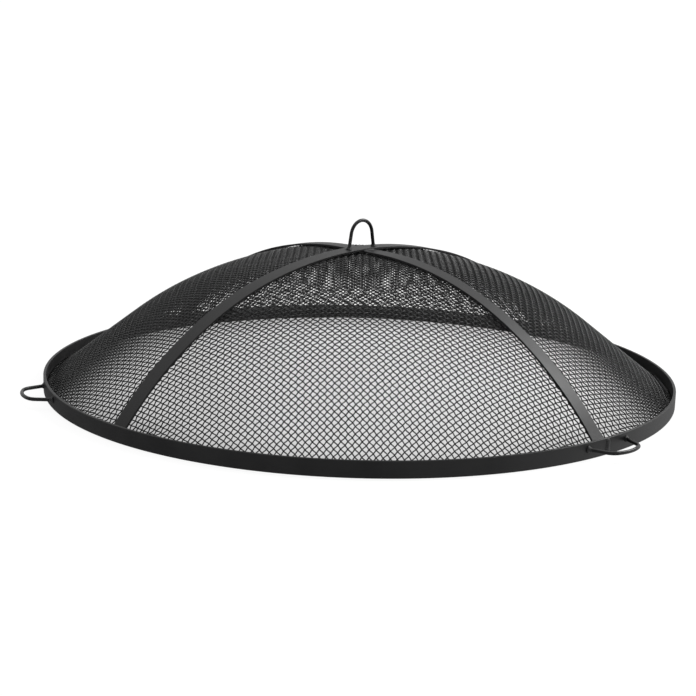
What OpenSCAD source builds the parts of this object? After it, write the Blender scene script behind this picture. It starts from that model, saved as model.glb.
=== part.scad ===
// Domed spark screen for a round fire pit: a rolled flat-bar rim stands on edge and
// carries a woven wire dome, two flat straps that cross at the crown, an upright
// wire loop on top and three D-shaped wire loops round the rim. All of it is welded.
// Millimetres. Origin: on the rim's axis, in the plane that the rim rests on. +Z up.
// The upper strap runs along Y and the lower strap along X.

/* [Rim band] */
// Outside diameter of the rolled rim band
rim_d = 914.4; // [700:0.1:1100]
// Height of the flat bar, standing on edge
rim_h = 22; // [18:0.5:30]
// Thickness of the flat bar
rim_t = 4; // [3:0.5:5]
// Small chamfer along the band's four edges
rim_edge = 0.6; // [0.2:0.1:1]
// Where the rolled band's butt seam is, degrees round from +X
seam_angle = -1.7; // [-180:0.1:180]
// Wire diameter of the hoop inside the band's lower corner
hoop_wire = 6; // [4:0.5:8]

/* [Straps] */
// Width of the flat strap bars
strap_w = 25; // [20:0.5:30]
// Thickness of the flat strap bars
strap_t = 3; // [2:0.5:4]
// Height of the upper strap's top face at the crown
crown_z = 201.2; // [190:0.1:212]
// Upper strap: radius of the flatter crown bend
upper_crown_radius = 681; // [640:1:720]
// Upper strap: slope at which the crown bend ends, degrees
upper_crown_slope = 13.7; // [11:0.1:16]
// Upper strap: radius of the tighter shoulder bend
upper_shoulder_radius = 503.5; // [495:0.5:512]
// Lower strap: half length of the flat stretch under the crossing
lower_flat_half = 36; // [30:1:42]
// Lower strap: radius of its single bend
lower_radius = 513.5; // [505:0.5:520]
// Slope at which both straps run straight down to their feet, degrees
strap_end_slope = 48.5; // [46:0.5:50]
// Radius, from the axis, at which the flat strap feet end
strap_reach = 451.5; // [450:0.1:452]

/* [Mesh dome] */
// Thickness of the woven sheet, twice its wire diameter
mesh_t = 3.4; // [2.4:0.2:3.6]
// Height of the sheet's middle at the crown
mesh_crown_z = 193.4; // [188:0.1:193.4]
// Radius of the sheet's crown
mesh_crown_radius = 723; // [700:1:760]
// Slope at which the crown passes into the shoulder, degrees
mesh_crown_slope = 11.6; // [10:0.1:13]
// Radius of the sheet's shoulder
mesh_shoulder_radius = 466; // [455:1:475]
// Slope of the straight skirt, degrees
mesh_skirt_slope = 37.5; // [36.5:0.1:38.5]
// Radius, from the axis, at which the sheet's flat lip ends on the hoop
mesh_reach = 451; // [449:0.5:452]
// Width of the slots in the sheet where the strap feet come down
mesh_slot_w = 29; // [24:1:36]
// Radius at which those slots begin
mesh_slot_start = 392; // [380:1:400]
// Number of gores that the shell is divided into
mesh_gores = 8; // [4:4:12]
// Width of the slit between two gores
mesh_slit = 0.4; // [0.2:0.1:1]

/* [Loop handles] */
// Wire diameter of the four loop handles
handle_wire = 5; // [3:0.5:6]
// Top loop: height of the wire's middle above the upper strap
top_loop_h = 39.7; // [34:0.1:60]
// Top loop: radius of its bend
top_loop_radius = 21.2; // [16:0.1:23]
// Top loop: how far its two legs lean in, degrees
top_loop_lean = 10; // [4:0.1:14]
// Top loop: how far its middle is from the crown, along -Y
top_loop_offset = 3.6; // [0:0.1:8]
// Side loops: half the distance between the centres of the two corner bends
side_corner_x = 14.5; // [12:0.1:20]
// Side loops: how far the two legs lean in, degrees
side_lean = 19; // [4:0.5:24]
// Side loops: how far the wire's middle stands out from the band
side_reach = 33.7; // [30:0.1:42]
// Side loops: bend radius at the two corners
side_corner_radius = 17; // [12:1:22]
// Side loops: bend radius of the long front stretch
side_front_radius = 58; // [50:1:90]
// Side loops: height of the wire's middle where it meets the band
side_z = 13.2; // [10:0.1:15]
// Side loops: where each one is, degrees round from +X
side_angles = [-1.5, -114.5, 122.2]; // [-180:0.1:180]
// Side loops: how far each one droops below level, degrees
side_droops = [1, 0, 1]; // [0:0.5:4]

/* [Welds] */
// Width of the bead over the band's seam
seam_bead_w = 9; // [6:0.5:12]
// How far that bead stands out from the band
seam_bead_proud = 1.8; // [1:0.1:2.5]
// Radius of the bead along the two edges of the upper strap at the crossing
cross_bead_radius = 2.4; // [1.5:0.1:2.8]
// How far the beads across a strap stop short of each of its edges
bead_inset = 1.2; // [0.5:0.1:3]
// Radius of the bead at the end of each strap foot
foot_bead_radius = 5; // [4:0.5:6]
// Radius of the blob round each loop-handle leg
leg_blob_radius = 4.8; // [4:0.1:6]
// How many tack welds hold the hoop in the band
hoop_tacks = 12; // [6:1:24]
// Length of each of those tacks, degrees of the rim
hoop_tack_span = 1.6; // [1:0.1:3]

/* [Hidden] */

$fn = 96;
rim_r = rim_d / 2;
rim_inner_r = rim_r - rim_t;
hoop_r = rim_inner_r - hoop_wire / 2;
foot_z = hoop_wire;
strap_top_z = foot_z + strap_t;
lip_gap = 0.1;
lip_z = hoop_wire + mesh_t / 2 + lip_gap;
lower_crown_z = crown_z - strap_t;
wire_r = handle_wire / 2;
join_extra = 0.03;
arc_steps = 20;
cut_fn = 720;
steel = [0.16, 0.16, 0.17];
wire_black = [0.08, 0.08, 0.09];
weld_grey = [0.22, 0.22, 0.23];
screen_grey = [0.30, 0.30, 0.31];

// ---- Outlines -------------------------------------------------------------
// A line of points is a list of [radius from the axis, height, slope, stretch].
// Slope is in degrees, downhill outwards. Stretch lengthens an offset at a corner.

// A bend that starts at [r, z] and goes from slope a0 to slope a1.
function bend(r, z, radius, a0, a1) = [
    for (i = [0 : arc_steps])
        let (a = a0 + (a1 - a0) * i / arc_steps)
        [r + radius * (sin(a) - sin(a0)), z - radius * (cos(a0) - cos(a)), a, 1]
];

function last(line) = line[len(line) - 1];
function without_first(line) = [for (i = [1 : len(line) - 1]) line[i]];

// The points that carry a line on from its end through a bend to slope a1.
function bend_after(line, radius, a1) =
    let (e = last(line))
    without_first(bend(e[0], e[1], radius, e[2], a1));

// Straight on down from the line's end to height z, then flat out to radius reach.
function foot_after(line, z, reach) =
    let (e = last(line), r = e[0] + (e[1] - z) / tan(e[2]))
    [[r, z, e[2] / 2, 1 / cos(e[2] / 2)], [reach, z, 0, 1]];

// The line moved sideways, to its upper side when d is positive.
function beside(line, d) = [
    for (p = line) [p[0] + d * p[3] * sin(p[2]), p[1] + d * p[3] * cos(p[2])]
];

function reversed(line) = [for (i = [len(line) - 1 : -1 : 0]) line[i]];
function mirrored(line) = [for (p = line) [-p[0], p[1]]];

upper_crown = bend(0, crown_z, upper_crown_radius, 0, upper_crown_slope);
upper_arc = concat(upper_crown,
                   bend_after(upper_crown, upper_shoulder_radius, strap_end_slope));
upper_line = concat(upper_arc, foot_after(upper_arc, strap_top_z, strap_reach));

lower_arc = concat([[0, lower_crown_z, 0, 1]],
                   bend(lower_flat_half, lower_crown_z, lower_radius, 0, strap_end_slope));
lower_line = concat(lower_arc, foot_after(lower_arc, strap_top_z, strap_reach));

mesh_crown = bend(0, mesh_crown_z, mesh_crown_radius, 0, mesh_crown_slope);
mesh_arc = concat(mesh_crown,
                  bend_after(mesh_crown, mesh_shoulder_radius, mesh_skirt_slope));
mesh_line = concat(mesh_arc, foot_after(mesh_arc, lip_z, mesh_reach));

// ---- Shared shapes --------------------------------------------------------

// A flat bar that runs along X, bent to a line given by its top face.
module bent_strap(line) {
    top = beside(line, 0);
    under = beside(line, -strap_t);
    rotate([90, 0, 0])
        linear_extrude(height = strap_w, center = true)
            polygon(concat(
                top, reversed(under),
                mirrored(without_first(under)), reversed(mirrored(without_first(top)))
            ));
}

// Part of a wire ring in the XY plane, from angle a0 round to a1.
module wire_arc(radius, a0, a1) {
    rotate([0, 0, a0])
        rotate_extrude(angle = a1 - a0)
            translate([radius, 0])
                circle(r = wire_r, $fn = 32);
}

// A ball a hair thicker than the wire, which makes the lengths that meet there one solid.
module wire_join() {
    sphere(r = wire_r + join_extra, $fn = 32);
}

// Straight wire along +Y, from a little behind the origin, where it is cut off later,
// to the join at its far end.
module wire_leg(length) {
    translate([0, -handle_wire, 0])
        rotate([-90, 0, 0])
            cylinder(r = wire_r, h = length + handle_wire, $fn = 32);
    translate([0, length, 0])
        wire_join();
}

// Beads at both ends of a strap that runs along X: each fills the corner between
// the flat foot and the band.
module strap_end_beads() {
    intersection() {
        cylinder(r = rim_inner_r, h = rim_h, $fn = cut_fn);
        for (side = [-1, 1])
            difference() {
                translate([side * rim_inner_r, 0, strap_top_z])
                    rotate([90, 0, 0])
                        cylinder(r = foot_bead_radius, h = strap_w - 2 * bead_inset, center = true);
                translate([side * strap_reach / 2, 0, strap_top_z / 2])
                    cube([strap_reach, strap_w + 1, strap_top_z], center = true);
                translate([0, 0, foot_z - rim_h])
                    cylinder(r = rim_r, h = rim_h);
            }
    }
}

// ---- Rim ------------------------------------------------------------------

module rim_band() {
    color(steel)
        rotate_extrude($fn = 180)
            polygon([
                [rim_inner_r + rim_edge, 0], [rim_r - rim_edge, 0],
                [rim_r, rim_edge], [rim_r, rim_h - rim_edge],
                [rim_r - rim_edge, rim_h], [rim_inner_r + rim_edge, rim_h],
                [rim_inner_r, rim_h - rim_edge], [rim_inner_r, rim_edge]
            ]);
}

// Rounded upright bead over the butt seam.
module rim_seam_weld() {
    bead_r = (pow(seam_bead_w / 2, 2) + pow(seam_bead_proud, 2)) / (2 * seam_bead_proud);
    color(weld_grey)
        rotate([0, 0, seam_angle])
            intersection() {
                translate([rim_r + seam_bead_proud - bead_r, 0, rim_edge])
                    cylinder(r = bead_r, h = rim_h - 2 * rim_edge);
                translate([rim_r, -seam_bead_w, 0])
                    cube([seam_bead_w, 2 * seam_bead_w, rim_h]);
            }
}

// Round rod that stiffens the band and gives the mesh and the straps a seat.
module inner_hoop() {
    color(steel)
        rotate_extrude($fn = 180)
            translate([hoop_r, hoop_wire / 2])
                circle(d = hoop_wire, $fn = 32);
}

// Short tacks under the hoop, in the groove between it and the band.
module hoop_tack_welds() {
    color(weld_grey)
        for (i = [0 : hoop_tacks - 1])
            rotate([0, 0, (i + 0.5) * 360 / hoop_tacks])
                rotate_extrude(angle = hoop_tack_span)
                    difference() {
                        translate([hoop_r, rim_edge])
                            square([hoop_wire / 2, hoop_wire / 3]);
                        translate([hoop_r, hoop_wire / 2])
                            circle(d = hoop_wire, $fn = 32);
                    }
}

// ---- Mesh -----------------------------------------------------------------

// The woven sheet as a thin shell of its true outer shape, slotted for the strap feet
// and divided by hairline slits into gores.
module mesh_dome() {
    color(screen_grey)
        difference() {
            rotate_extrude($fn = 180)
                polygon(concat(
                    beside(mesh_line, mesh_t / 2),
                    reversed(beside(mesh_line, -mesh_t / 2))
                ));
            for (a = [0 : 90 : 270])
                rotate([0, 0, a])
                    translate([mesh_slot_start, -mesh_slot_w / 2, 0])
                        cube([rim_r - mesh_slot_start, mesh_slot_w, crown_z]);
            for (i = [0 : mesh_gores - 1])
                rotate([0, 0, i * 360 / mesh_gores])
                    translate([0, -mesh_slit / 2, 0])
                        cube([rim_r, mesh_slit, crown_z]);
        }
}

// ---- Straps ---------------------------------------------------------------

module upper_strap() {
    color(steel)
        rotate([0, 0, 90])
            bent_strap(upper_line);
}

module lower_strap() {
    color(steel)
        bent_strap(lower_line);
}

// Two fillet beads on the lower strap, one along each edge of the upper strap.
module strap_crossing_weld() {
    color(weld_grey)
        for (side = [-1, 1])
            intersection() {
                translate([side * strap_w / 2, 0, lower_crown_z])
                    rotate([90, 0, 0])
                        cylinder(r = cross_bead_radius, h = strap_w - 2 * bead_inset,
                                 center = true, $fn = 32);
                translate([side * strap_w, 0, lower_crown_z + strap_t / 2])
                    cube([strap_w, strap_w, strap_t], center = true);
            }
}

module upper_strap_end_welds() {
    color(weld_grey)
        rotate([0, 0, 90])
            strap_end_beads();
}

module lower_strap_end_welds() {
    color(weld_grey)
        strap_end_beads();
}

// ---- Top loop handle ------------------------------------------------------

top_loop_centre_h = top_loop_h - top_loop_radius;
top_leg_length = (top_loop_centre_h + top_loop_radius * sin(top_loop_lean)) / cos(top_loop_lean);
top_foot_half = top_loop_radius * cos(top_loop_lean) + top_leg_length * sin(top_loop_lean);

// The loop stands in the plane of the upper strap; its legs lean in as they rise and
// are cut off level with the strap.
module top_loop() {
    difference() {
        translate([0, -top_loop_offset, crown_z])
            rotate([90, 0, 90]) {
                translate([0, top_loop_centre_h, 0])
                    wire_arc(top_loop_radius, top_loop_lean, 180 - top_loop_lean);
                for (side = [-1, 1])
                    translate([side * top_foot_half, 0, 0])
                        rotate([0, 0, side * top_loop_lean])
                            wire_leg(top_leg_length);
            }
        under_crown();
    }
}

// What lies under the level of the upper strap's top face, as far as the loop needs it.
module under_crown() {
    translate([0, 0, crown_z - 2 * handle_wire])
        cube([strap_w, 4 * top_foot_half, 4 * handle_wire], center = true);
}

module top_handle() {
    color(wire_black)
        top_loop();
}

// A blob round one foot of the loop, flat against the strap.
module top_foot_blob(side) {
    difference() {
        translate([0, side * top_foot_half - top_loop_offset, crown_z])
            sphere(r = leg_blob_radius, $fn = 48);
        under_crown();
        top_loop();
    }
}

module top_handle_front_weld() {
    color(weld_grey)
        top_foot_blob(-1);
}

module top_handle_rear_weld() {
    color(weld_grey)
        top_foot_blob(1);
}

// ---- Side loop handles ----------------------------------------------------

side_front_y = side_reach - side_front_radius;
side_corner_y = side_front_y
    + sqrt(pow(side_front_radius - side_corner_radius, 2) - pow(side_corner_x, 2));
side_corner_turn = atan2(side_corner_y - side_front_y, side_corner_x);
side_leg_length = (side_corner_y + side_corner_radius * sin(side_lean)) / cos(side_lean);
side_foot_half = side_corner_x + side_corner_radius * cos(side_lean)
    + side_leg_length * sin(side_lean);
// The same where the legs reach the band, which has curved away a little there.
side_leg_drop = rim_r - sqrt(pow(rim_r, 2) - pow(side_foot_half, 2));
side_face_half = side_foot_half + side_leg_drop * tan(side_lean);

// Puts its children at the band's outer face, level with the side loops, with +Y
// pointing away from the band, turned down by droop.
module at_band_face(droop) {
    translate([0, rim_r, side_z])
        rotate([-droop, 0, 0])
            children();
}

// The two legs of a side loop, which lean in as they leave the band.
module side_legs() {
    for (side = [-1, 1])
        translate([side * side_foot_half, 0, 0])
            rotate([0, 0, side * side_lean])
                wire_leg(side_leg_length);
}

// A D-shaped loop that stands out from the band along +Y.
module side_loop(droop) {
    at_band_face(droop) {
        translate([0, side_front_y, 0]) {
            wire_arc(side_front_radius, side_corner_turn, 180 - side_corner_turn);
            for (turn = [side_corner_turn, 180 - side_corner_turn])
                rotate([0, 0, turn])
                    translate([side_front_radius, 0, 0])
                        wire_join();
        }
        translate([side_corner_x, side_corner_y, 0])
            wire_arc(side_corner_radius, side_lean, side_corner_turn);
        translate([-side_corner_x, side_corner_y, 0])
            wire_arc(side_corner_radius, 180 - side_corner_turn, 180 - side_lean);
        side_legs();
    }
}

module side_handle(i) {
    color(wire_black)
        rotate([0, 0, side_angles[i] - 90])
            difference() {
                side_loop(side_droops[i]);
                cylinder(r = rim_r, h = rim_h, $fn = cut_fn);
            }
}

// Blobs round the two legs of a side loop, flat against the band.
module side_handle_welds(i) {
    turn = asin(side_face_half / rim_r);
    color(weld_grey)
        for (side = [-1, 1])
            rotate([0, 0, side_angles[i] - 90 - side * turn])
                translate([0, rim_r, side_z])
                    difference() {
                        sphere(r = leg_blob_radius, $fn = 48);
                        translate([0, -leg_blob_radius, 0])
                            cube(2 * leg_blob_radius, center = true);
                        rotate([-side_droops[i], 0, side * turn])
                            rotate([-90, 0, side * side_lean])
                                cylinder(r = wire_r, h = 4 * leg_blob_radius, center = true, $fn = 32);
                    }
}

module side_handle_right() { side_handle(0); }
module side_handle_right_welds() { side_handle_welds(0); }
module side_handle_left() { side_handle(1); }
module side_handle_left_welds() { side_handle_welds(1); }
module side_handle_rear() { side_handle(2); }
module side_handle_rear_welds() { side_handle_welds(2); }

// ---- The whole screen -----------------------------------------------------

rim_band();
rim_seam_weld();
inner_hoop();
hoop_tack_welds();
mesh_dome();
upper_strap();
lower_strap();
strap_crossing_weld();
upper_strap_end_welds();
lower_strap_end_welds();
top_handle();
top_handle_front_weld();
top_handle_rear_weld();
side_handle_right();
side_handle_right_welds();
side_handle_left();
side_handle_left_welds();
side_handle_rear();
side_handle_rear_welds();
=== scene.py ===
"""Looks for a domed fire-pit spark screen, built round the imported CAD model.

Everything is in metres, in the row frame: the origin is on the rim's axis in the plane
that the rim rests on, the lower strap runs along X and the upper strap along Y.
"""

import math

import bpy
import numpy as np
from mathutils import Matrix, Vector


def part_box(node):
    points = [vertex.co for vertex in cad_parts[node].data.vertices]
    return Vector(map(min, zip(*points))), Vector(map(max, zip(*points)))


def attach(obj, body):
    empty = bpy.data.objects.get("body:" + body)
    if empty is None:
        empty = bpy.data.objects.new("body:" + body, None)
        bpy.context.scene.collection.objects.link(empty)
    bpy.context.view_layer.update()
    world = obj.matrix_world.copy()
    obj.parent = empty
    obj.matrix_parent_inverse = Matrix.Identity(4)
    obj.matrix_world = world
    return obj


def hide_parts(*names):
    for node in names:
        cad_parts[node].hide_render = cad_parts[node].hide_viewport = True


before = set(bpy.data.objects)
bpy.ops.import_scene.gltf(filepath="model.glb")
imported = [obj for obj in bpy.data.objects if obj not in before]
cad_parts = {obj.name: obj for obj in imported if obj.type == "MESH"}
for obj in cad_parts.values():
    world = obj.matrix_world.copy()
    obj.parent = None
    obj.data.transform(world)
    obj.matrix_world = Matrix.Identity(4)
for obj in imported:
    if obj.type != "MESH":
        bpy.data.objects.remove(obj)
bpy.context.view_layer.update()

MM = 0.001
BODY = "root"


def cad_points(node):
    """A CAD node's vertices, as rows of x, y, z."""
    return np.array([v.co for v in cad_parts[node].data.vertices], float)


def radii(node):
    """A CAD node's least and greatest distance from the rim's axis."""
    points = cad_points(node)
    away = np.hypot(points[:, 0], points[:, 1])
    return float(away.min()), float(away.max())


# ---- Sizes that the frame gives ---------------------------------------------------
RIM_INNER, RIM_R = radii("rim_band")
RIM_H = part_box("rim_band")[1].z
RIM_T = RIM_R - RIM_INNER
HOOP_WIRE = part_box("inner_hoop")[1].z
HOOP_R = RIM_INNER - HOOP_WIRE / 2
STRAP_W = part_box("lower_strap")[1].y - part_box("lower_strap")[0].y
STRAP_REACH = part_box("lower_strap")[1].x
CROWN_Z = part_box("upper_strap")[1].z
LOWER_CROWN_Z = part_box("lower_strap")[1].z
STRAP_T = CROWN_Z - LOWER_CROWN_Z
MESH_REACH = radii("mesh_dome")[1]
MESH_WIRE = 1.7 * MM
MESH_CROWN_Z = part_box("mesh_dome")[1].z - MESH_WIRE
LIP_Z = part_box("mesh_dome")[0].z + MESH_WIRE
HANDLE_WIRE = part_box("top_handle")[1].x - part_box("top_handle")[0].x

# ---- Bends, as the design has them -------------------------------------------------
UPPER_BENDS = [(681 * MM, 13.7), (503.5 * MM, 48.5)]
LOWER_FLAT_HALF = 36 * MM
LOWER_BENDS = [(513.5 * MM, 48.5)]
FOOT_BEND_R = 9 * MM
LOWER_STRAP_TWIST = math.radians(5)
MESH_BENDS = [(723 * MM, 11.6), (466 * MM, 37.5)]
TOP_LOOP_R = 21.2 * MM
TOP_LOOP_H = 39.7 * MM
TOP_LOOP_LEAN = math.radians(10)
TOP_LOOP_Y = -3.6 * MM
SIDE_CORNER_X = 14.5 * MM
SIDE_LEAN = math.radians(19)
SIDE_REACH = 33.7 * MM
SIDE_CORNER_R = 17 * MM
SIDE_FRONT_R = 58 * MM
SIDE_Z = 13.2 * MM
SIDE_HANDLES = {"right": (-1.5, 1.0), "left": (-114.5, 0.0), "rear": (122.2, 1.0)}
SEAM_ANGLE = -1.7

# ---- The woven sheet ---------------------------------------------------------------
MESH_PITCH = 7.1 * MM
SAMPLES_PER_PITCH = 4
MESH_SIDES = 6
STRIPS = 5

# ---- How the sheet lies under a strap, by distance from the axis over the rim's radius
STRAP_ROOM_AT = [0.3, 0.5, 0.6, 0.7, 0.86]
STRAP_ROOM = [0.4 * MM, 1.2 * MM, 3.0 * MM, 3.0 * MM, 0.4 * MM]
STRAP_PULL_AT = [0.1, 0.3, 0.5, 0.7, 0.8, 0.9, 1.0]
STRAP_PULL_WIDTH = [0.04, 0.1, 0.16, 0.2, 0.2, 0.13, 0.1]
TWIST_AT = [0.2, 0.5, 0.92, 0.95]
TWIST_SHARE = [0, 1, 1, 0]

# ---- Welds --------------------------------------------------------------------------
SEAM_BEAD_W = 8.6 * MM
SEAM_BEAD_T = 3.8 * MM
CROSS_BEAD_W = 3.6 * MM
CROSS_BEAD_T = 3.4 * MM
FOOT_BEAD_W = 6.5 * MM
FOOT_BEAD_T = 6.0 * MM
HOOP_TACKS = 12
HOOP_TACK_HALF_LENGTH = 5 * MM
HOOP_TACK_W = 2.8 * MM
HOOP_TACK_T = 2.4 * MM
HOOP_TACK_TURN = 0.8
COLLAR_SPREAD = 4.9 * MM
COLLAR_HEIGHT = 4.2 * MM
BEAD_LUMPS = 0.09
COLLAR_LUMPS = 0.13

# ---- The floor's own brightness, and the shade painted on it inside the rim ---------
FLOOR_SIZE = 400.0
FLOOR_COLOUR = 0.2
FLOOR_SHADE_START = 0.72
FLOOR_SHADE_LEFT = 0.84
FLOOR_SHADE_RIGHT = 1.08
FLOOR_GLOW = 0.90
FLOOR_GLOW_FAR = 0.97
# The floor's glow inside the rim and by it, lowered as a painted shadow of the dome.
FLOOR_GLOW_PAINTED_SHADOW = 0.64
FLOOR_GLOW_PAINTED_SHADOW_BY_RIM = 0.46

# ---- The camera, at the photograph's viewing angle --------------------------------
CAMERA_AZIMUTH = 44.74
CAMERA_ELEVATION = 14.48
CAMERA_DISTANCE = 4.8 * RIM_R
CAMERA_YAW = 0.468
CAMERA_PITCH = 1.281
CAMERA_ROLL = -1.66
CAMERA_LENS = 76.75


# =====================================================================================
# Mesh building
# =====================================================================================

def new_object(name, vertices, face_groups, corner_uvs=None, normals=None):
    """An object from an array of vertices and arrays of faces, each with its own corner count."""
    mesh = bpy.data.meshes.new(name)
    corners = np.concatenate([g.ravel() for g in face_groups]).astype(np.int32)
    counts = np.concatenate([np.full(len(g), g.shape[1]) for g in face_groups])
    starts = np.concatenate([[0], np.cumsum(counts)[:-1]]).astype(np.int32)
    mesh.vertices.add(len(vertices))
    mesh.vertices.foreach_set("co", np.asarray(vertices, np.float32).ravel())
    mesh.loops.add(len(corners))
    mesh.loops.foreach_set("vertex_index", corners)
    mesh.polygons.add(len(counts))
    mesh.polygons.foreach_set("loop_start", starts)
    mesh.polygons.foreach_set("use_smooth", np.ones(len(counts), bool))
    mesh.update(calc_edges=True)
    if corner_uvs is not None:
        uv_map = mesh.uv_layers.new(name="OFBake")
        uv_map.data.foreach_set("uv", corner_uvs.astype(np.float32).ravel())
    mesh.validate()
    if normals is not None:
        mesh.normals_split_custom_set_from_vertices(normals.tolist())
    obj = bpy.data.objects.new(name, mesh)
    bpy.context.scene.collection.objects.link(obj)
    return obj


def tube_faces(rings, sides, closed, first=0):
    """Faces of a tube of that many rings, and of its two caps if it isn't closed."""
    spans = rings if closed else rings - 1
    i = np.arange(spans)[:, None]
    j = np.arange(sides)[None, :]
    k = (i + 1) % rings
    l = (j + 1) % sides
    quads = np.stack([i * sides + j, i * sides + l, k * sides + l, k * sides + j], -1)
    quads = first + quads.reshape(-1, 4)
    if closed:
        return quads, np.zeros((0, sides), int)
    start = first + np.arange(sides)[::-1]
    end = first + (rings - 1) * sides + np.arange(sides)
    return quads, np.stack([start, end])


def strip_uvs(spans, sides, cap_count, length_over_girth):
    """Corner UVs for tubes laid end to end as one strip that is folded into rows."""
    rows = max(1, round(math.sqrt(length_over_girth)))
    per_row = math.ceil(spans / rows)
    rows = math.ceil(spans / per_row)
    q = np.repeat(np.arange(spans), sides)
    j = np.tile(np.arange(sides), spans)
    u0 = (q % per_row) / per_row
    u1 = u0 + 0.98 / per_row
    margin = 0.06
    v0 = (q // per_row + margin + (1 - 2 * margin) * j / sides) / rows
    v1 = v0 + (1 - 2 * margin) / sides / rows
    quads = np.stack([u0, v0, u0, v1, u1, v1, u1, v0], -1).reshape(-1, 2)
    caps = np.tile([[0.5 / per_row, 0.5 / rows]], (cap_count * sides, 1))
    return np.concatenate([quads, caps])


def sweep(name, centres, across, up, section, closed=False, swell=None):
    """A solid with a cross-section swept along centres. section is (points, normals) in
    the plane of the two axes across and up, which are given at each centre. swell is a
    factor on the section's size, for each ring or for each ring and section point."""
    points, point_normals = section
    centres, across, up = (np.asarray(a, float) for a in (centres, across, up))
    rings, sides = len(centres), len(points)
    if swell is None:
        swell = np.ones((rings, sides))
    swell = np.broadcast_to(np.asarray(swell, float).reshape(rings, -1), (rings, sides))

    def place(flat):
        return (flat[:, :, :1] * across[:, None, :] + flat[:, :, 1:] * up[:, None, :])

    spread = place(points[None] * swell[:, :, None])
    vertices = (centres[:, None, :] + spread).reshape(-1, 3)
    normals = place(np.broadcast_to(point_normals[None], (rings, sides, 2))).reshape(-1, 3)
    quads, caps = tube_faces(rings, sides, closed)
    if np.dot(np.cross(across[0], up[0]), centres[1] - centres[0]) < 0:
        quads, caps = quads[:, ::-1], caps[:, ::-1]
    length = np.linalg.norm(np.diff(centres, axis=0), axis=1).sum()
    girth = np.linalg.norm(points - np.roll(points, 1, 0), axis=1).sum()
    uvs = strip_uvs(len(quads) // sides, sides, len(caps), length / girth)
    smooth = float(np.ptp(swell)) < 1e-9
    groups = [quads] if closed else [quads, caps]
    return new_object(name, vertices, groups, uvs, normals if smooth else None)


def bar_section(width, height, corner, steps=4):
    """A rounded rectangle, anticlockwise, as points and their outward normals."""
    points, normals = [], []
    centres = [(1, 1), (-1, 1), (-1, -1), (1, -1)]
    for quarter, (sx, sy) in enumerate(centres):
        for k in range(steps + 1):
            a = math.radians(90 * (quarter + k / steps))
            normal = (math.cos(a), math.sin(a))
            points.append((
                sx * (width / 2 - corner) + corner * normal[0],
                sy * (height / 2 - corner) + corner * normal[1],
            ))
            normals.append(normal)
    return np.array(points), np.array(normals)


def round_section(width, height=None, sides=16):
    """An ellipse, anticlockwise, as points and their outward normals."""
    height = width if height is None else height
    a = 2 * np.pi * np.arange(sides) / sides
    points = np.stack([np.cos(a) * width / 2, np.sin(a) * height / 2], -1)
    normals = np.stack([np.cos(a) * height, np.sin(a) * width], -1)
    return points, normals / np.linalg.norm(normals, axis=1)[:, None]


def unit(v):
    return v / np.linalg.norm(v, axis=-1, keepdims=True)


def path_tangents(points):
    return unit(np.gradient(points, axis=0))


def piece(obj, slot, material, *nodes):
    """Puts an object on the CAD body with its material, and hides the CAD nodes it stands for."""
    obj.data.materials.clear()
    obj.data.materials.append(material)
    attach(obj, BODY)
    if nodes:
        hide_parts(*nodes)
    return obj


# =====================================================================================
# Outlines: rows of distance from the axis, height and downhill slope in radians
# =====================================================================================

def bend(r, z, radius, slope_from, slope_to, steps):
    """The points of a bend that starts at [r, z]; a negative radius bends upwards."""
    a = np.linspace(slope_from, slope_to, steps + 1)
    return np.stack([
        r + radius * (np.sin(a) - math.sin(slope_from)),
        z - radius * (math.cos(slope_from) - np.cos(a)),
        a,
    ], -1)


def outline(crown_z, bends, flat_half=0.0, steps=40):
    """A line from the axis, flat for a while and then through each bend in turn."""
    line = np.array([[0.0, crown_z, 0.0]])
    r, z, slope = flat_half, crown_z, 0.0
    for radius, end_degrees in bends:
        part = bend(r, z, radius, slope, math.radians(end_degrees), steps)
        line = np.concatenate([line, part if line[-1, 0] < part[0, 0] else part[1:]])
        r, z, slope = part[-1]
    return line


def with_foot(line, foot_z, reach, foot_bend):
    """The line run straight on to height foot_z and then level to reach, round a bend."""
    r, z, slope = line[-1]
    corner = r + (z - foot_z) / math.tan(slope)
    cut = foot_bend * math.tan(slope / 2)
    start = (corner - cut * math.cos(slope), foot_z + cut * math.sin(slope))
    foot = bend(start[0], start[1], -foot_bend, slope, 0.0, 10)
    return np.concatenate([line, foot, [[reach, foot_z, 0.0]]])


FOOT_TOP_Z = HOOP_WIRE + STRAP_T
UPPER_LINE = with_foot(outline(CROWN_Z, UPPER_BENDS), FOOT_TOP_Z, STRAP_REACH, FOOT_BEND_R)
LOWER_LINE = with_foot(
    outline(LOWER_CROWN_Z, LOWER_BENDS, LOWER_FLAT_HALF), FOOT_TOP_Z, STRAP_REACH, FOOT_BEND_R
)
MESH_LINE = with_foot(outline(MESH_CROWN_Z, MESH_BENDS, steps=120), LIP_Z, 1.2 * RIM_R, 6 * MM)


# =====================================================================================
# The woven sheet
# =====================================================================================

def under_strap(r, line):
    """Height of the sheet's middle where it lies under a strap, at distance r."""
    room = np.interp(r / RIM_R, STRAP_ROOM_AT, STRAP_ROOM)
    top = np.interp(r, line[:, 0], line[:, 1])
    slope = np.interp(r, line[:, 0], line[:, 2])
    return np.maximum(top - (STRAP_T + room + MESH_WIRE) / np.cos(slope), LIP_Z - 0.3 * MM)


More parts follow.
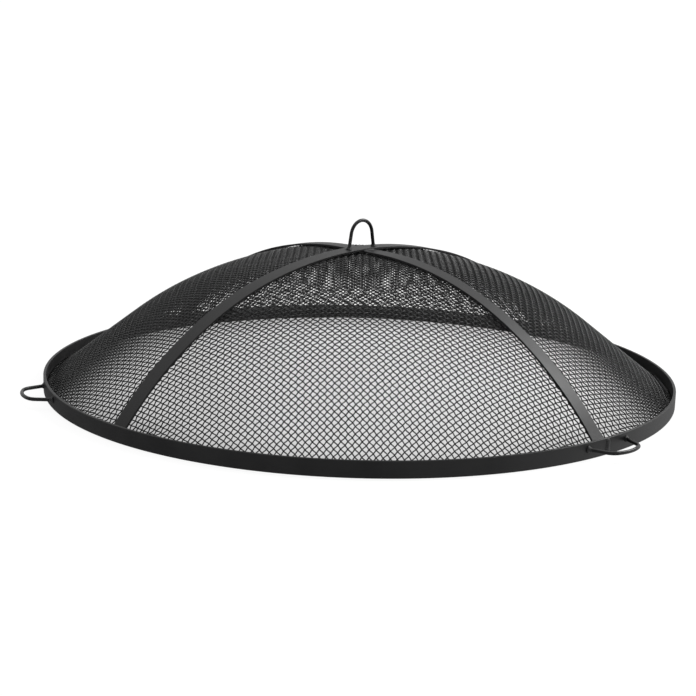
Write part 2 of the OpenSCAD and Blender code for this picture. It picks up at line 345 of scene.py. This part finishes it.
def sheet_height(x, y):
    """Height of the sheet's middle. Between the straps it is a plain dome; towards a
    strap it is pulled up a little at the shoulder and pressed down near the rim."""
    r = np.hypot(x, y)
    dome = np.interp(r, MESH_LINE[:, 0], MESH_LINE[:, 1])
    share = np.clip((r / RIM_R - 0.05) / 0.15, 0, 1)
    share = share * share * (3 - 2 * share)
    reach = RIM_R * np.interp(r / RIM_R, STRAP_PULL_AT, STRAP_PULL_WIDTH)
    height = dome
    for off, line in ((np.abs(x), UPPER_LINE), (np.abs(y), LOWER_LINE)):
        near = np.exp(-(np.maximum(off - STRAP_W / 2, 0) / reach) ** 2)
        height = height + (under_strap(r, line) - dome) * share * near
    return height


def sheet_slope(x, y):
    """The two partial slopes of the sheet."""
    h = 0.5 * MM
    return (
        (sheet_height(x + h, y) - sheet_height(x - h, y)) / (2 * h),
        (sheet_height(x, y + h) - sheet_height(x, y - h)) / (2 * h),
    )


def meet(a, b, guess):
    """Points of the sheet that are one pitch from a and from b, by Newton's method."""
    x, y = guess[:, 0].copy(), guess[:, 1].copy()
    for _ in range(12):
        z = sheet_height(x, y)
        zx, zy = sheet_slope(x, y)
        rows = []
        for p in (a, b):
            dx, dy, dz = x - p[:, 0], y - p[:, 1], z - p[:, 2]
            miss = dx * dx + dy * dy + dz * dz - MESH_PITCH ** 2
            rows.append((2 * (dx + dz * zx), 2 * (dy + dz * zy), miss))
        (a11, a12, f1), (a21, a22, f2) = rows
        det = a11 * a22 - a12 * a21
        x = x - (f1 * a22 - f2 * a12) / det
        y = y - (f2 * a11 - f1 * a21) / det
    return np.stack([x, y, sheet_height(x, y)], -1)


def first_wire(count):
    """Crossings along the wire under the lower strap, one pitch apart on the sheet."""
    points = [np.array([0.0, 0.0, float(sheet_height(0.0, 0.0))])]
    for _ in range(count):
        low, high = points[-1][0], points[-1][0] + MESH_PITCH
        for _ in range(40):
            x = (low + high) / 2
            z = float(sheet_height(x, 0.0))
            if math.hypot(x - points[-1][0], z - points[-1][2]) < MESH_PITCH:
                low = x
            else:
                high = x
        points.append(np.array([x, 0.0, z]))
    return np.array(points)


def wire_crossings():
    """Crossings of the two families of wires over the whole sheet, as a square array.
    Each cell keeps its four equal sides, as in a real woven sheet pressed to a dome."""
    count = math.ceil(1.2 * RIM_R / MESH_PITCH)
    quarter = np.full((count + 1, count + 1, 3), np.nan)
    quarter[:, 0] = first_wire(count)
    quarter[0, :] = quarter[:, 0][:, [1, 0, 2]]
    for total in range(2, 2 * count + 1):
        i = np.arange(max(1, total - count), min(count, total - 1) + 1)
        j = total - i
        a, b, corner = quarter[i - 1, j], quarter[i, j - 1], quarter[i - 1, j - 1]
        good = np.hypot(corner[:, 0], corner[:, 1]) < 1.04 * RIM_R
        i, j, a, b, corner = i[good], j[good], a[good], b[good], corner[good]
        if len(i):
            quarter[i, j] = meet(a, b, (a + b - corner)[:, :2])
    whole = np.full((2 * count + 1, 2 * count + 1, 3), np.nan)
    for sx in (1, -1):
        for sy in (1, -1):
            part = quarter * np.array([sx, sy, 1])
            rows = slice(count, None) if sx > 0 else slice(count, None, -1)
            columns = slice(count, None) if sy > 0 else slice(count, None, -1)
            whole[rows, columns] = part
    return whole, count


def smooth_samples(nodes):
    """Points between the nodes of one wire, by a cubic through four neighbours."""
    ends = np.concatenate([[2 * nodes[0] - nodes[1]], nodes, [2 * nodes[-1] - nodes[-2]]])
    p0, p1, p2, p3 = ends[:-3], ends[1:-2], ends[2:-1], ends[3:]
    parts = []
    for k in range(SAMPLES_PER_PITCH):
        t = k / SAMPLES_PER_PITCH
        parts.append(0.5 * (
            2 * p1 + (p2 - p0) * t
            + (2 * p0 - 5 * p1 + 4 * p2 - p3) * t ** 2
            + (3 * p1 - p0 - 3 * p2 + p3) * t ** 3
        ))
    between = np.stack(parts, 1).reshape(-1, nodes.shape[1])
    return np.concatenate([between, nodes[-1:]])


def inside_sheet(x, y):
    """True where the sheet has wire: within the hoop, and not where a strap foot lands."""
    r = np.hypot(x, y)
    foot_start = UPPER_LINE[-2, 0] - FOOT_BEND_R
    off = np.minimum(np.abs(x), np.abs(y))
    under_foot = (off < STRAP_W / 2 + MESH_WIRE) & (r > foot_start)
    return (r <= MESH_REACH) & ~under_foot


def wire_runs(nodes, first_index, phase):
    """The crimped centrelines of one wire, as (centres, normals), split where it is cut."""
    known = ~np.isnan(nodes[:, 0])
    if known.sum() < 3:
        return
    at = np.flatnonzero(known)
    at = np.arange(at[0], at[-1] + 1)
    flat = smooth_samples(nodes[at, :2])
    x, y = flat[:, 0], flat[:, 1]
    zx, zy = sheet_slope(x, y)
    normals = unit(np.stack([-zx, -zy, np.ones_like(zx)], -1))
    index = first_index + at[0] + np.arange(len(flat)) / SAMPLES_PER_PITCH
    lift = phase * MESH_WIRE / 2 * np.cos(np.pi * index)
    centres = np.stack([x, y, sheet_height(x, y)], -1) + lift[:, None] * normals
    keep = inside_sheet(x, y)
    edges = np.flatnonzero(np.diff(np.concatenate([[0], keep.astype(int), [0]])))
    for start, stop in edges.reshape(-1, 2):
        if stop - start >= 3:
            yield centres[start:stop], normals[start:stop]


def wire_bundle(name, wires):
    """One object of many round wires, each given as (centres, normals)."""
    section = round_section(MESH_WIRE, sides=MESH_SIDES)[0]
    vertices, quads, caps, first, length = [], [], [], 0, 0.0
    for centres, normals in wires:
        tangents = path_tangents(centres)
        up = unit(normals - (normals * tangents).sum(-1, keepdims=True) * tangents)
        across = np.cross(up, tangents)
        ring = section[None, :, :1] * across[:, None] + section[None, :, 1:] * up[:, None]
        vertices.append((centres[:, None] + ring).reshape(-1, 3))
        q, c = tube_faces(len(centres), MESH_SIDES, False, first)
        quads.append(q)
        caps.append(c)
        first += len(centres) * MESH_SIDES
        length += np.linalg.norm(np.diff(centres, axis=0), axis=1).sum()
    quads, caps = np.concatenate(quads), np.concatenate(caps)
    girth = math.pi * MESH_WIRE
    uvs = strip_uvs(len(quads) // MESH_SIDES, MESH_SIDES, len(caps), length / girth)
    return new_object(name, np.concatenate(vertices), [quads, caps], uvs)


def make_sheet(material):
    """The woven sheet: wires along X and wires along Y, in strips of neighbours."""
    crossings, count = wire_crossings()
    families = {"mesh_wires_along_x": (crossings.transpose(1, 0, 2), 1),
                "mesh_wires_along_y": (crossings, -1)}
    for family, (grid, side) in families.items():
        wires = []
        for k in range(2 * count + 1):
            phase = side * (-1) ** (k - count)
            wires.append(list(wire_runs(grid[k], -count, phase)))
        used = [w for w in wires if w]
        share = math.ceil(len(used) / STRIPS)
        for n in range(STRIPS):
            runs = [run for w in used[n * share:(n + 1) * share] for run in w]
            obj = wire_bundle(f"{family}_{n + 1}", runs)
            piece(obj, "mesh_wire", material, "mesh_dome")


# =====================================================================================
# Rim and straps
# =====================================================================================

def ring_path(radius, z, steps):
    a = 2 * np.pi * np.arange(steps) / steps
    centres = np.stack([radius * np.cos(a), radius * np.sin(a), np.full(steps, z)], -1)
    outward = np.stack([np.cos(a), np.sin(a), np.zeros(steps)], -1)
    upward = np.tile([0.0, 0.0, 1.0], (steps, 1))
    return centres, outward, upward


def make_rim(paint):
    centres, outward, upward = ring_path(RIM_R - RIM_T / 2, RIM_H / 2, 480)
    band = sweep("rim_band_rolled", centres, outward, upward,
                 bar_section(RIM_T, RIM_H, 0.9 * MM), closed=True)
    piece(band, "bar_steel", paint, "rim_band")
    centres, outward, upward = ring_path(HOOP_R, HOOP_WIRE / 2, 360)
    hoop = sweep("inner_hoop_rod", centres, outward, upward,
                 round_section(HOOP_WIRE), closed=True)
    piece(hoop, "bar_steel", paint, "inner_hoop")


def make_strap(name, line, direction, paint, node, twist=0.0):
    """A flat bar bent to the line, through the crown to its mirror image. One leg is
    twisted a little about its length, as a bar bent by hand is."""
    middle = np.stack([
        line[:, 0] - STRAP_T / 2 * np.sin(line[:, 2]),
        line[:, 1] - STRAP_T / 2 * np.cos(line[:, 2]),
        line[:, 2],
    ], -1)
    other = middle[:0:-1] * np.array([-1, 1, -1])
    run = np.concatenate([other, middle])
    along = np.array(direction, float)
    side = np.cross([0, 0, 1], along)
    centres = run[:, :1] * along + run[:, 1:2] * np.array([0, 0, 1])
    up = np.sin(run[:, 2:]) * along + np.cos(run[:, 2:]) * np.array([0, 0, 1])
    across = np.tile(side, (len(run), 1))
    turn = twist * np.interp(run[:, 0] / RIM_R, TWIST_AT, TWIST_SHARE)[:, None]
    up, across = (
        np.cos(turn) * up + np.sin(turn) * across,
        np.cos(turn) * across - np.sin(turn) * up,
    )
    strap = sweep(name, centres, across, up, bar_section(STRAP_W, STRAP_T, 0.6 * MM))
    piece(strap, "bar_steel", paint, node)


# =====================================================================================
# Loop handles
# =====================================================================================

def arc_points(centre, radius, start, end, steps=14):
    a = np.linspace(start, end, steps + 1)
    return np.stack([centre[0] + radius * np.cos(a), centre[1] + radius * np.sin(a)], -1)


def joined(*parts):
    """Stretches of a path end to end, without the points that they share."""
    path = parts[0]
    for part in parts[1:]:
        path = np.concatenate([path, part[1:]])
    return path


def wire_loop(name, path, origin, right, forward, paint, node):
    """A round wire bent in the plane of right and forward."""
    right, forward = np.array(right, float), np.array(forward, float)
    centres = np.array(origin, float) + path[:, :1] * right + path[:, 1:] * forward
    out_of_plane = np.tile(np.cross(right, forward), (len(path), 1))
    across = np.cross(path_tangents(centres), out_of_plane)
    loop = sweep(name, centres, across, out_of_plane, round_section(HANDLE_WIRE, sides=20))
    piece(loop, "handle_wire", paint, node)


def straight(a, b, steps=6):
    t = np.linspace(0, 1, steps + 1)[:, None]
    return np.array(a) * (1 - t) + np.array(b) * t


def top_loop_path():
    """Half legs and a bend, as distance along the strap and height above it."""
    centre_h = TOP_LOOP_H - TOP_LOOP_R
    lean = TOP_LOOP_LEAN
    rise = centre_h + TOP_LOOP_R * math.sin(lean)
    foot = TOP_LOOP_R * math.cos(lean) + rise * math.tan(lean)
    top = (TOP_LOOP_R * math.cos(lean), rise)
    path = joined(
        straight((foot, 0), top),
        arc_points((0, centre_h), TOP_LOOP_R, lean, math.pi - lean, 28),
        straight((-top[0], rise), (-foot, 0)),
    )
    return path, foot


def side_loop_path():
    """The D of a side handle, as distance along the band and distance out from it, and
    half the distance between its two feet on the band."""
    front_y = SIDE_REACH - SIDE_FRONT_R
    corner_y = front_y + math.sqrt((SIDE_FRONT_R - SIDE_CORNER_R) ** 2 - SIDE_CORNER_X ** 2)
    turn = math.atan2(corner_y - front_y, SIDE_CORNER_X)
    leg_top = (
        SIDE_CORNER_X + SIDE_CORNER_R * math.cos(SIDE_LEAN),
        corner_y + SIDE_CORNER_R * math.sin(SIDE_LEAN),
    )
    level = leg_top[0] + leg_top[1] * math.tan(SIDE_LEAN)
    face_y = math.sqrt(RIM_R ** 2 - level ** 2) - RIM_R
    foot = (level - face_y * math.tan(SIDE_LEAN), face_y)
    path = joined(
        straight(foot, leg_top),
        arc_points((SIDE_CORNER_X, corner_y), SIDE_CORNER_R, SIDE_LEAN, turn),
        arc_points((0, front_y), SIDE_FRONT_R, turn, math.pi - turn, 24),
        arc_points((-SIDE_CORNER_X, corner_y), SIDE_CORNER_R, math.pi - turn, math.pi - SIDE_LEAN),
        straight((-leg_top[0], leg_top[1]), (-foot[0], foot[1])),
    )
    return path, foot


def directions_at(degrees, droop=0.0):
    """Unit vectors out from the rim's axis and along the rim, at an angle round it."""
    a, d = math.radians(degrees), math.radians(droop)
    out = np.array([math.cos(a), math.sin(a), 0.0])
    along = np.array([math.sin(a), -math.cos(a), 0.0])
    return out, along, out * math.cos(d) - np.array([0, 0, math.sin(d)])


def make_handles(paint):
    path, _ = top_loop_path()
    wire_loop("top_handle_loop", path, (0, TOP_LOOP_Y, CROWN_Z - 0.5 * MM),
              (0, 1, 0), (0, 0, 1), paint, "top_handle")
    path, _ = side_loop_path()
    for side, (angle, droop) in SIDE_HANDLES.items():
        out, along, drooped = directions_at(angle, droop)
        origin = out * RIM_R + np.array([0, 0, SIDE_Z])
        wire_loop(f"side_handle_{side}_loop", path, origin, along, drooped,
                  paint, f"side_handle_{side}")


# =====================================================================================
# Welds
# =====================================================================================

def lumps(rings, sides, seed, amount):
    """A factor for each vertex of a bead: ripples along it and uneven sides."""
    i = np.arange(rings)[:, None]
    j = np.arange(sides)[None, :] * 2 * np.pi / sides
    wave = np.sin(1.7 * i + seed) + 0.6 * np.sin(2 * j + 0.9 * i + 2.1 * seed)
    return 1 + amount * (wave + 0.7 * np.sin(3 * j - 0.5 * i + 4.3 * seed)) / 2.3


def bead(name, start, end, across, up, width, height, seed, paint, *nodes):
    """A rippled weld bead with rounded ends, half sunk in what it joins."""
    rings, sides = 30, 14
    t = np.linspace(0, 1, rings)
    centres = np.array(start) * (1 - t[:, None]) + np.array(end) * t[:, None]
    taper = np.sqrt(np.clip(1 - np.abs(2 * t - 1) ** 6, 0.02, 1))
    swell = taper[:, None] * lumps(rings, sides, seed, BEAD_LUMPS)
    obj = sweep(name, centres, np.tile(unit(np.array(across, float)), (rings, 1)),
                np.tile(unit(np.array(up, float)), (rings, 1)),
                round_section(width, height, sides), swell=swell)
    piece(obj, "weld", paint, *nodes)


def collar(name, base, axis, seed, paint, *nodes):
    """A lumpy fillet of weld round the foot of a wire, wide at the base."""
    rings, sides = 12, 20
    t = np.linspace(0, 1, rings)
    axis = unit(np.array(axis, float))
    side = unit(np.cross(axis, [0.3, 0.2, 1.0] if abs(axis[2]) < 0.9 else [1.0, 0.2, 0.1]))
    centres = np.array(base) + np.outer(t * COLLAR_HEIGHT - 0.3 * MM, axis)
    radius = HANDLE_WIRE / 2 + (COLLAR_SPREAD - HANDLE_WIRE / 2) * (1 - t) ** 1.7
    swell = radius[:, None] / COLLAR_SPREAD * lumps(rings, sides, seed, COLLAR_LUMPS)
    obj = sweep(name, centres, np.tile(side, (rings, 1)),
                np.tile(np.cross(axis, side), (rings, 1)),
                round_section(2 * COLLAR_SPREAD, sides=sides), swell=swell)
    piece(obj, "weld", paint, *nodes)


def make_welds(paint):
    out, along, _ = directions_at(SEAM_ANGLE)
    bead("rim_seam_bead", out * (RIM_R - 0.4 * MM) + [0, 0, 0.8 * MM],
         out * (RIM_R - 0.4 * MM) + [0, 0, RIM_H - 0.6 * MM], along, out,
         SEAM_BEAD_W, SEAM_BEAD_T, 1.0, paint, "rim_seam_weld")
    for n, side in enumerate((-1, 1)):
        at = np.array([side * (STRAP_W / 2), 0, LOWER_CROWN_Z])
        half = np.array([0, STRAP_W / 2 - 1.5 * MM, 0])
        bead(f"crossing_bead_{n + 1}", at - half, at + half, (1, 0, 0), (0, 0, 1),
             CROSS_BEAD_W, CROSS_BEAD_T, 2.0 + n, paint, "strap_crossing_weld")
    for k, name in enumerate(("lower", "upper", "lower", "upper")):
        out, along, _ = directions_at(90 * k)
        at = out * (RIM_INNER - 1.0 * MM) + [0, 0, FOOT_TOP_Z + 0.4 * MM]
        half = along * (STRAP_W / 2 - 1.2 * MM)
        bead(f"{name}_strap_end_bead_{k // 2 + 1}", at - half, at + half, out, (0, 0, 1),
             FOOT_BEAD_W, FOOT_BEAD_T, 5.0 + k, paint, f"{name}_strap_end_welds")
    _, foot = top_loop_path()
    for side, node in ((-1, "top_handle_front_weld"), (1, "top_handle_rear_weld")):
        lean = (0, -side * math.sin(TOP_LOOP_LEAN), math.cos(TOP_LOOP_LEAN))
        collar(f"{node}_collar", (0, TOP_LOOP_Y + side * foot, CROWN_Z - 0.4 * MM), lean,
               9.0 + side, paint, node)
    _, side_foot = side_loop_path()
    for side, (angle, droop) in SIDE_HANDLES.items():
        out, along, drooped = directions_at(angle, droop)
        for n, sign in enumerate((-1, 1)):
            base = out * (RIM_R + side_foot[1]) + along * sign * side_foot[0]
            leg = math.cos(SIDE_LEAN) * drooped - sign * math.sin(SIDE_LEAN) * along
            collar(f"side_handle_{side}_collar_{n + 1}", base + np.array([0, 0, SIDE_Z]), leg,
                   angle + 3.0 * n, paint, f"side_handle_{side}_welds")
    for k in range(HOOP_TACKS):
        out, along, _ = directions_at((k + 0.5) * 360 / HOOP_TACKS + HOOP_TACK_TURN)
        at = out * (RIM_INNER - 0.6 * MM) + [0, 0, 1.5 * MM]
        half = along * HOOP_TACK_HALF_LENGTH
        bead(f"hoop_tack_{k + 1}", at - half, at + half, out, (0, 0, 1),
             HOOP_TACK_W, HOOP_TACK_T, 20.0 + k, paint, "hoop_tack_welds")


# =====================================================================================
# Materials
# =====================================================================================

def painted_steel(name, dark, light, gloss, matt, grain, bump, edge_wear_and_sheen):
    """Black stove paint on steel. dark and light bound its colour, gloss and matt its
    roughness, grain is the paint's texture in lumps per metre, bump its height, and
    edge_wear_and_sheen how much lighter sharp edges are: paint worn thin there, and a
    painted sheen where light would catch the rounded edges."""
    material = bpy.data.materials.new(name)
    material.use_nodes = True
    nodes, links = material.node_tree.nodes, material.node_tree.links
    shader = nodes["Principled BSDF"]
    where = nodes.new("ShaderNodeTexCoord").outputs["Object"]

    def noise(scale, detail):
        n = nodes.new("ShaderNodeTexNoise")
        n.inputs["Scale"].default_value = scale
        n.inputs["Detail"].default_value = detail
        links.new(where, n.inputs["Vector"])
        return n.outputs["Fac"]

    def ramp(value, low, high, start=0.35, end=0.65):
        r = nodes.new("ShaderNodeValToRGB")
        r.color_ramp.elements[0].position = start
        r.color_ramp.elements[1].position = end
        r.color_ramp.elements[0].color = (*low, 1)
        r.color_ramp.elements[1].color = (*high, 1)
        links.new(value, r.inputs["Fac"])
        return r.outputs["Color"]

    cloud = noise(14, 5)
    speckle = noise(grain, 3)
    body = ramp(cloud, dark, light)
    # Sharp edges lighter: paint worn thin, and a painted sheen standing in for light caught on the
    # edges.
    point = nodes.new("ShaderNodeNewGeometry").outputs["Pointiness"]
    edge = ramp(point, (0, 0, 0), (1, 1, 1), 0.52, 0.62)
    worn_edge_and_sheen = nodes.new("ShaderNodeMix")
    worn_edge_and_sheen.data_type = "RGBA"
    worn_edge_and_sheen.inputs["B"].default_value = (edge_wear_and_sheen, edge_wear_and_sheen, edge_wear_and_sheen * 1.02, 1)
    links.new(edge, worn_edge_and_sheen.inputs["Factor"])
    links.new(body, worn_edge_and_sheen.inputs["A"])
    links.new(worn_edge_and_sheen.outputs["Result"], shader.inputs["Base Color"])

    rough = nodes.new("ShaderNodeMapRange")
    rough.inputs["From Min"].default_value = 0.3
    rough.inputs["From Max"].default_value = 0.7
    rough.inputs["To Min"].default_value = gloss
    rough.inputs["To Max"].default_value = matt
    blend = nodes.new("ShaderNodeMath")
    blend.operation = "MULTIPLY_ADD"
    blend.inputs[1].default_value = 0.5
    links.new(speckle, blend.inputs[0])
    half = nodes.new("ShaderNodeMath")
    half.operation = "MULTIPLY"
    half.inputs[1].default_value = 0.5
    links.new(cloud, half.inputs[0])
    links.new(half.outputs[0], blend.inputs[2])
    links.new(blend.outputs[0], rough.inputs["Value"])
    links.new(rough.outputs["Result"], shader.inputs["Roughness"])

    relief = nodes.new("ShaderNodeBump")
    relief.inputs["Strength"].default_value = bump
    relief.inputs["Distance"].default_value = 0.2 * MM
    links.new(speckle, relief.inputs["Height"])
    links.new(relief.outputs["Normal"], shader.inputs["Normal"])
    return material


def make_materials():
    return {
        "bar": painted_steel(
            "black_bar_paint", dark=(0.008, 0.008, 0.0085), light=(0.014, 0.014, 0.0145),
            gloss=0.36, matt=0.52, grain=700, bump=0.35, edge_wear_and_sheen=0.06,
        ),
        "wire": painted_steel(
            "black_mesh_paint", dark=(0.004, 0.004, 0.0042), light=(0.008, 0.008, 0.0084),
            gloss=0.22, matt=0.36, grain=1100, bump=0.15, edge_wear_and_sheen=0.02,
        ),
        "handle": painted_steel(
            "black_handle_paint", dark=(0.004, 0.004, 0.0043), light=(0.009, 0.009, 0.0094),
            gloss=0.24, matt=0.38, grain=800, bump=0.25, edge_wear_and_sheen=0.04,
        ),
        "weld": painted_steel(
            "black_weld_paint", dark=(0.012, 0.012, 0.0125), light=(0.026, 0.026, 0.027),
            gloss=0.38, matt=0.6, grain=1300, bump=0.7, edge_wear_and_sheen=0.08,
        ),
    }


# =====================================================================================
# Stage, light and camera
# =====================================================================================

def make_floor():
    """A white sweep that shows as pure white, with shade painted into its glow inside the rim: lower
    there, lowest by the rim, darker to the left and lighter to the right.
    """
    far = FLOOR_SIZE
    mesh = bpy.data.meshes.new("floor")
    mesh.from_pydata([(-far, -far, 0), (far, -far, 0), (far, far, 0), (-far, far, 0)],
                     [], [(0, 1, 2, 3)])
    floor = bpy.data.objects.new("floor", mesh)
    bpy.context.scene.collection.objects.link(floor)
    floor.location.z = -0.2 * MM
    floor.visible_glossy = False
    material = bpy.data.materials.new("floor_white")
    material.use_nodes = True
    nodes, links = material.node_tree.nodes, material.node_tree.links
    shader = nodes["Principled BSDF"]
    shader.inputs["Base Color"].default_value = (FLOOR_COLOUR, FLOOR_COLOUR, FLOOR_COLOUR, 1)
    shader.inputs["Roughness"].default_value = 0.9
    shader.inputs["Specular IOR Level"].default_value = 0.0
    where = nodes.new("ShaderNodeTexCoord").outputs["Object"]
    away = nodes.new("ShaderNodeVectorMath")
    away.operation = "LENGTH"
    links.new(where, away.inputs[0])

    def fade(value, low, high, at_low, at_high):
        m = nodes.new("ShaderNodeMapRange")
        m.interpolation_type = "SMOOTHSTEP"
        m.inputs["From Min"].default_value = low
        m.inputs["From Max"].default_value = high
        m.inputs["To Min"].default_value = at_low
        m.inputs["To Max"].default_value = at_high
        links.new(value, m.inputs["Value"])
        return m.outputs["Result"]

    # Painted shadow: the glow drops inside the rim and more near it, and is scaled darker on the
    # left and lighter on the right, as if lit from the right.
    inside = fade(away.outputs["Value"], FLOOR_SHADE_START * RIM_R, RIM_INNER,
                  FLOOR_GLOW_PAINTED_SHADOW, FLOOR_GLOW_PAINTED_SHADOW_BY_RIM)
    side = nodes.new("ShaderNodeVectorMath")
    side.operation = "DOT_PRODUCT"
    side.inputs[1].default_value = around(90, 0, 1 / RIM_R)
    links.new(where, side.inputs[0])
    painted_floor_shade = nodes.new("ShaderNodeMath")
    painted_floor_shade.operation = "MULTIPLY"
    links.new(inside, painted_floor_shade.inputs[0])
    links.new(fade(side.outputs["Value"], -1, 1, FLOOR_SHADE_LEFT, FLOOR_SHADE_RIGHT),
              painted_floor_shade.inputs[1])
    glow = nodes.new("ShaderNodeMix")
    links.new(fade(away.outputs["Value"], 2 * RIM_R, 10 * RIM_R, FLOOR_GLOW, FLOOR_GLOW_FAR),
              glow.inputs["B"])
    links.new(fade(away.outputs["Value"], RIM_INNER, RIM_R, 0, 1), glow.inputs["Factor"])
    links.new(painted_floor_shade.outputs[0], glow.inputs["A"])
    shader.inputs["Emission Color"].default_value = (1, 1, 1, 1)
    links.new(glow.outputs["Result"], shader.inputs["Emission Strength"])
    mesh.materials.append(material)


def make_world():
    """A soft white room, seen in the paint: even and pale above, white at the horizon, and
    below it dark in front and to the left but bright to the right."""
    world = bpy.data.worlds.new("studio")
    bpy.context.scene.world = world
    world.use_nodes = True
    nodes, links = world.node_tree.nodes, world.node_tree.links
    where = nodes.new("ShaderNodeTexCoord").outputs["Generated"]

    def ramp(value, stops):
        r = nodes.new("ShaderNodeValToRGB")
        elements = r.color_ramp.elements
        for n, (position, level) in enumerate(stops):
            stop = elements[n] if n < 2 else elements.new(position)
            stop.position = position
            stop.color = (level, level, level, 1)
        links.new(value, r.inputs["Fac"])
        return r.outputs["Color"]

    def zero_to_one(value, low, high):
        m = nodes.new("ShaderNodeMapRange")
        m.inputs["From Min"].default_value = low
        m.inputs["From Max"].default_value = high
        links.new(value, m.inputs["Value"])
        return m.outputs["Result"]

    split = nodes.new("ShaderNodeSeparateXYZ")
    links.new(where, split.inputs[0])
    height = zero_to_one(split.outputs["Z"], -1, 1)

    def toward(azimuth):
        d = nodes.new("ShaderNodeVectorMath")
        d.operation = "DOT_PRODUCT"
        d.inputs[1].default_value = around(azimuth, 0, 1)
        links.new(where, d.inputs[0])
        return d.outputs["Value"]

    def blend(share, a, b):
        m = nodes.new("ShaderNodeMix")
        m.data_type = "RGBA"
        links.new(share, m.inputs["Factor"])
        links.new(a, m.inputs["A"])
        links.new(b, m.inputs["B"])
        return m.outputs["Result"]

    sky = ramp(zero_to_one(toward(175), -1, 1), ((0, 0.10), (0.45, 0.28), (0.62, 0.56), (1, 0.62)))
    white = ramp(height, ((0, 1.05), (1, 1.05)))
    above = blend(ramp(height, ((0.51, 0), (0.54, 1))), white, sky)
    below = ramp(zero_to_one(toward(100), -0.1, 1),
                 ((0, 0.15), (0.25, 0.18), (0.39, 0.21), (0.76, 0.45), (0.855, 0.62), (0.955, 0.72)))
    whole = blend(ramp(height, ((0.475, 0), (0.495, 1))), below, above)
    links.new(whole, nodes["Background"].inputs["Color"])
    nodes["Background"].inputs["Strength"].default_value = 1.0


def around(azimuth, elevation, distance):
    """A point round the object; azimuth 0 is the camera's side and 90 its right."""
    a = math.radians(CAMERA_AZIMUTH + azimuth)
    e = math.radians(elevation)
    return Vector((math.sin(a) * math.cos(e), -math.cos(a) * math.cos(e), math.sin(e))) * distance


def softbox(name, azimuth, elevation, distance, width, height, power):
    light = bpy.data.lights.new(name, "AREA")
    light.shape = "RECTANGLE"
    light.size, light.size_y = width, height
    light.energy = power
    lamp = bpy.data.objects.new(name, light)
    bpy.context.scene.collection.objects.link(lamp)
    lamp.location = around(azimuth, elevation, distance)
    aim = Vector((0, 0, 0.08)) - lamp.location
    lamp.rotation_mode = "QUATERNION"
    lamp.rotation_quaternion = aim.to_track_quat("-Z", "Y")


def make_lights():
    softbox("key_right_back", azimuth=110, elevation=43, distance=2.8,
            width=1.4, height=1.2, power=38)
    softbox("overhead", azimuth=0, elevation=88, distance=2.8,
            width=1.6, height=1.6, power=12)


def make_camera():
    """The camera at the photograph's place, turned a little off the rim's centre."""
    e = math.radians(CAMERA_ELEVATION)
    position = Vector((0, -math.cos(e), math.sin(e))) * CAMERA_DISTANCE
    forward = Vector((0, math.cos(e), -math.sin(e)))
    right = Vector((1, 0, 0))
    up = right.cross(forward)
    yaw = Matrix.Rotation(math.radians(CAMERA_YAW), 3, up)
    forward, right = yaw @ forward, yaw @ right
    pitch = Matrix.Rotation(math.radians(CAMERA_PITCH), 3, right)
    forward, up = pitch @ forward, pitch @ up
    roll = Matrix.Rotation(math.radians(CAMERA_ROLL), 3, forward)
    right, up = roll @ right, roll @ up
    turn = Matrix.Rotation(math.radians(CAMERA_AZIMUTH), 3, "Z")
    axes = Matrix((turn @ right, turn @ up, -(turn @ forward))).transposed()
    data = bpy.data.cameras.new("camera")
    data.sensor_width = 36.0
    data.lens = CAMERA_LENS
    data.clip_start, data.clip_end = 0.05, 200.0
    camera = bpy.data.objects.new("camera", data)
    bpy.context.scene.collection.objects.link(camera)
    camera.matrix_world = Matrix.Translation(turn @ position) @ axes.to_4x4()
    bpy.context.scene.camera = camera


# =====================================================================================

paints = make_materials()
make_rim(paints["bar"])
make_strap("upper_strap_bar", UPPER_LINE, (0, 1, 0), paints["bar"], "upper_strap")
make_strap("lower_strap_bar", LOWER_LINE, (1, 0, 0), paints["bar"], "lower_strap",
           LOWER_STRAP_TWIST)
make_handles(paints["handle"])
make_welds(paints["weld"])
make_sheet(paints["wire"])
make_floor()
make_world()
make_lights()
make_camera()
bpy.context.scene.view_settings.view_transform = "Standard"
